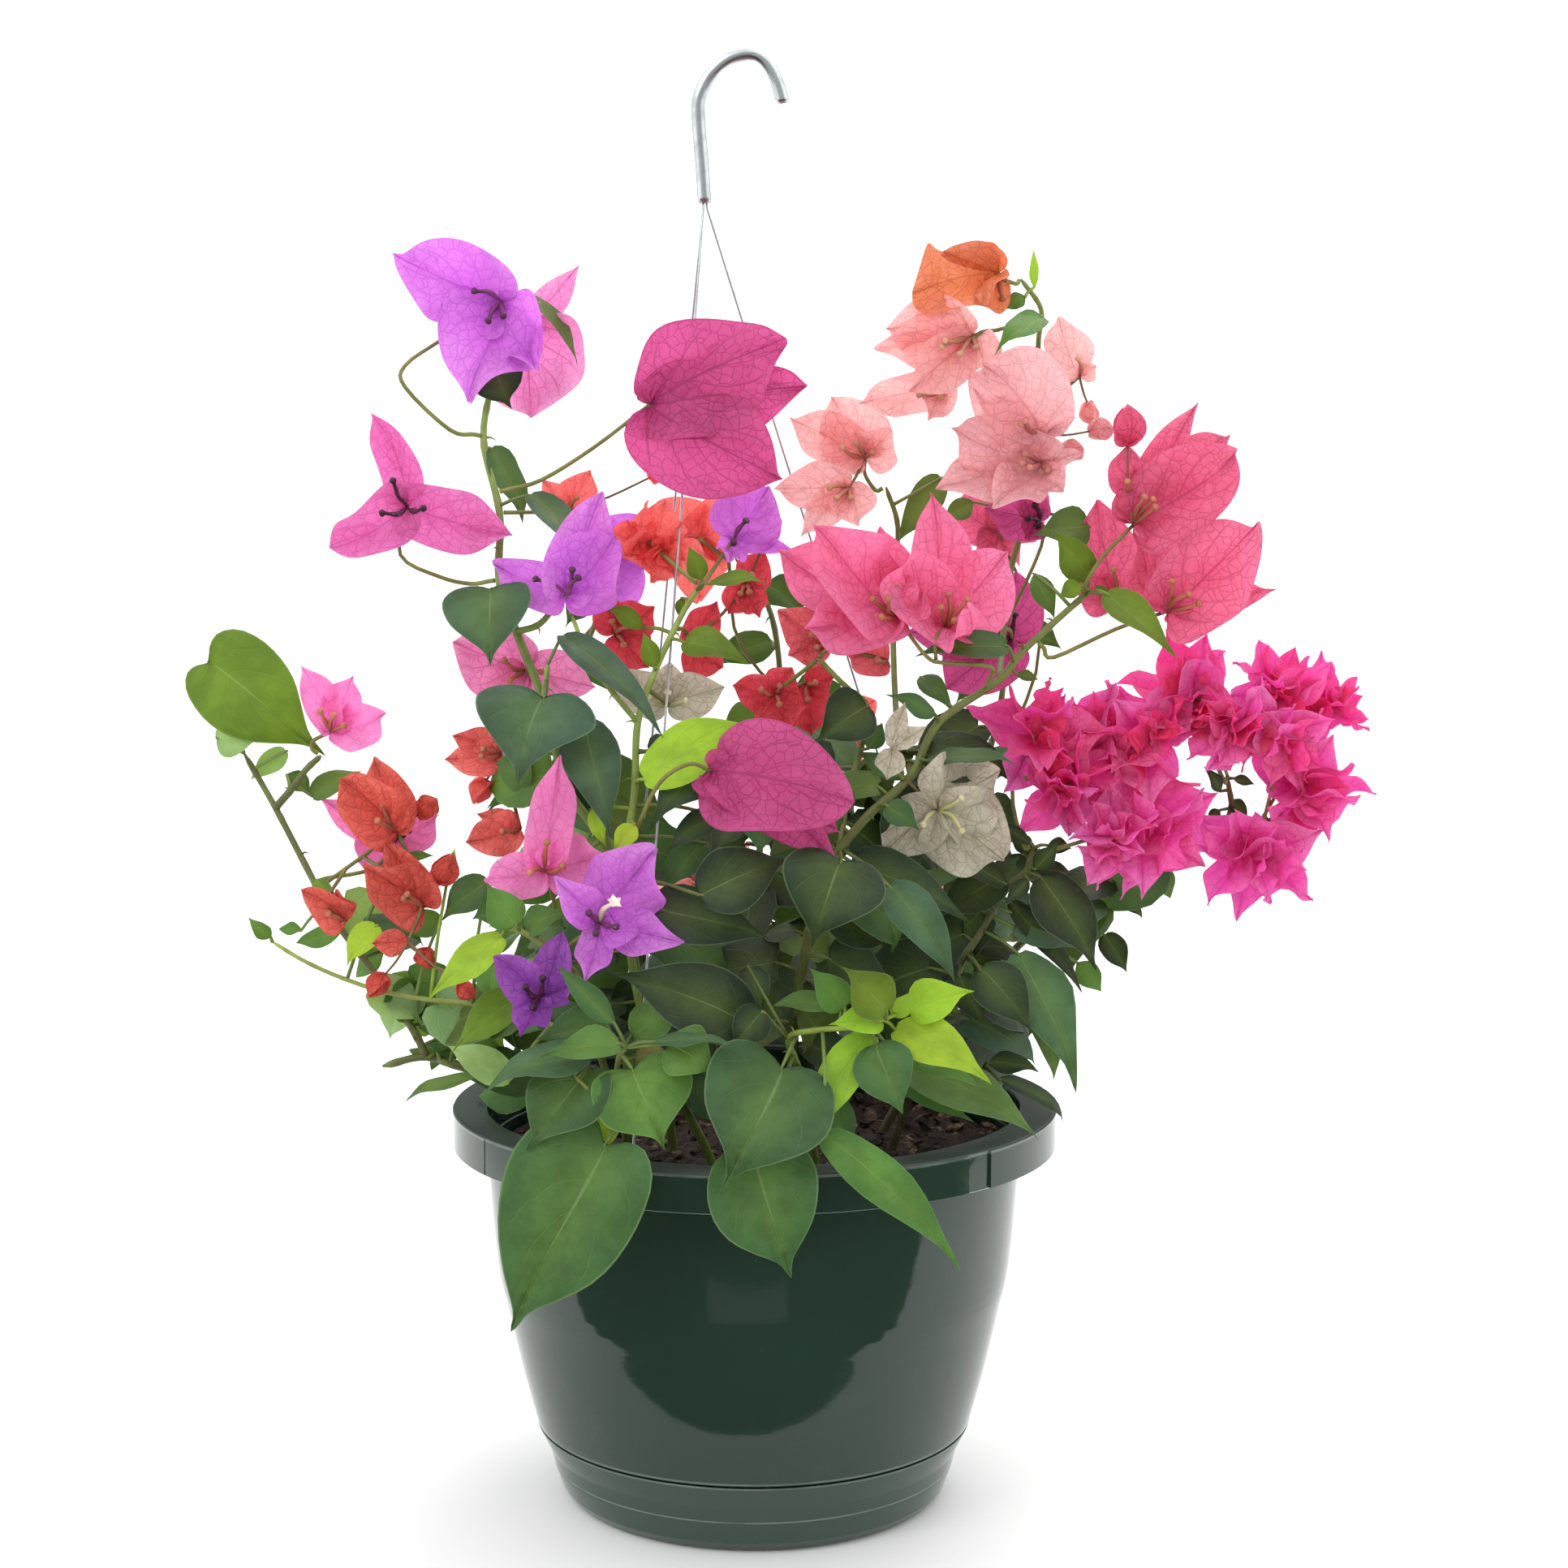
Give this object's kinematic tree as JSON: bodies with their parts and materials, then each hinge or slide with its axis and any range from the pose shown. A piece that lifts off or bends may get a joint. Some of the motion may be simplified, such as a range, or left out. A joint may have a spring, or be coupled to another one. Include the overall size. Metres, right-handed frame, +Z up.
{
  "type": "potted flowering plant",
  "caption": "Bushy bougainvillea with papery bracts in mixed colours, in a tapered round nursery pot with a clipped-on saucer and a wire hanger with a tube hook.",
  "frame": {"origin": "centre of the saucer's flat foot, where the pot stands", "axes": "+Z up along the pot's axis, -Y towards the front of the picture, +X to its right; the hook's curve lies in the plane of X and Z"},
  "size_m": [0.4876, 0.3127, 0.6055],
  "materials": {
    "bract_brick_pink": "papery translucent bract",
    "bract_coral": "papery translucent bract",
    "bract_coral_pink": "papery translucent bract",
    "bract_cream": "papery translucent bract",
    "bract_hot_pink": "papery translucent bract",
    "bract_lilac_pink": "papery translucent bract",
    "bract_magenta": "papery translucent bract",
    "bract_magenta_double": "papery translucent bract",
    "bract_magenta_net": "papery translucent bract",
    "bract_orange": "papery translucent bract",
    "bract_orange_red": "papery translucent bract",
    "bract_pink": "papery translucent bract",
    "bract_pink_net": "papery translucent bract",
    "bract_red": "papery translucent bract",
    "bract_red_dark": "papery translucent bract",
    "bract_salmon": "papery translucent bract",
    "bract_salmon_pink": "papery translucent bract",
    "bract_violet": "papery translucent bract",
    "bract_violet_deep": "papery translucent bract",
    "cane_and_leaf": "matt leaves on green and brown canes",
    "galvanised_steel": "bright galvanised",
    "pot_plastic": "glossy dark green",
    "potting_mix": "dark bark and peat",
    "saucer_plastic": "glossy dark green"
  },
  "bodies": {
    "root": {"cane_back": "cane_and_leaf", "cane_back_left": "cane_and_leaf", "cane_back_low": "cane_and_leaf", "cane_back_right": "cane_and_leaf", "cane_centre": "cane_and_leaf", "cane_far_left": "cane_and_leaf", "cane_far_right": "cane_and_leaf", "cane_left": "cane_and_leaf", "cane_low_left": "cane_and_leaf", "cane_low_right": "cane_and_leaf", "cane_right": "cane_and_leaf", "hook": "galvanised_steel", "pot": "pot_plastic", "saucer": "saucer_plastic", "shoot_left": "cane_and_leaf", "shoot_right": "cane_and_leaf", "soil": "potting_mix", "spray_back_pink": "bract_hot_pink", "spray_back_red": "bract_red", "spray_back_salmon": "bract_salmon", "spray_back_violet": "bract_violet", "spray_brick_centre": "bract_brick_pink", "spray_coral_centre": "bract_coral_pink", "spray_coral_small": "bract_coral", "spray_cream_left": "bract_cream", "spray_cream_right": "bract_cream", "spray_double_far": "bract_magenta_double", "spray_double_high": "bract_magenta_double", "spray_double_low": "bract_magenta_double", "spray_double_mid": "bract_magenta_double", "spray_magenta_centre": "bract_magenta_net", "spray_magenta_droop": "bract_magenta_net", "spray_magenta_left": "bract_magenta", "spray_magenta_top": "bract_magenta_net", "spray_orange_left": "bract_orange_red", "spray_orange_top": "bract_orange", "spray_pink_far_left": "bract_pink", "spray_pink_low": "bract_pink", "spray_pink_mid": "bract_pink_net", "spray_pink_right": "bract_hot_pink", "spray_pink_right_low": "bract_hot_pink", "spray_pink_top": "bract_pink", "spray_red_double": "bract_red", "spray_red_low": "bract_red_dark", "spray_red_mid": "bract_red_dark", "spray_red_right": "bract_red_dark", "spray_red_top": "bract_red", "spray_salmon_left": "bract_salmon", "spray_salmon_mid": "bract_salmon_pink", "spray_salmon_right": "bract_salmon", "spray_salmon_top": "bract_salmon", "spray_violet_left": "bract_lilac_pink", "spray_violet_low": "bract_violet_deep", "spray_violet_mid": "bract_violet", "spray_violet_small": "bract_violet", "spray_violet_star": "bract_violet", "spray_violet_top": "bract_violet", "wire_front": "galvanised_steel", "wire_left": "galvanised_steel", "wire_right": "galvanised_steel"}
  },
  "joints": []
}
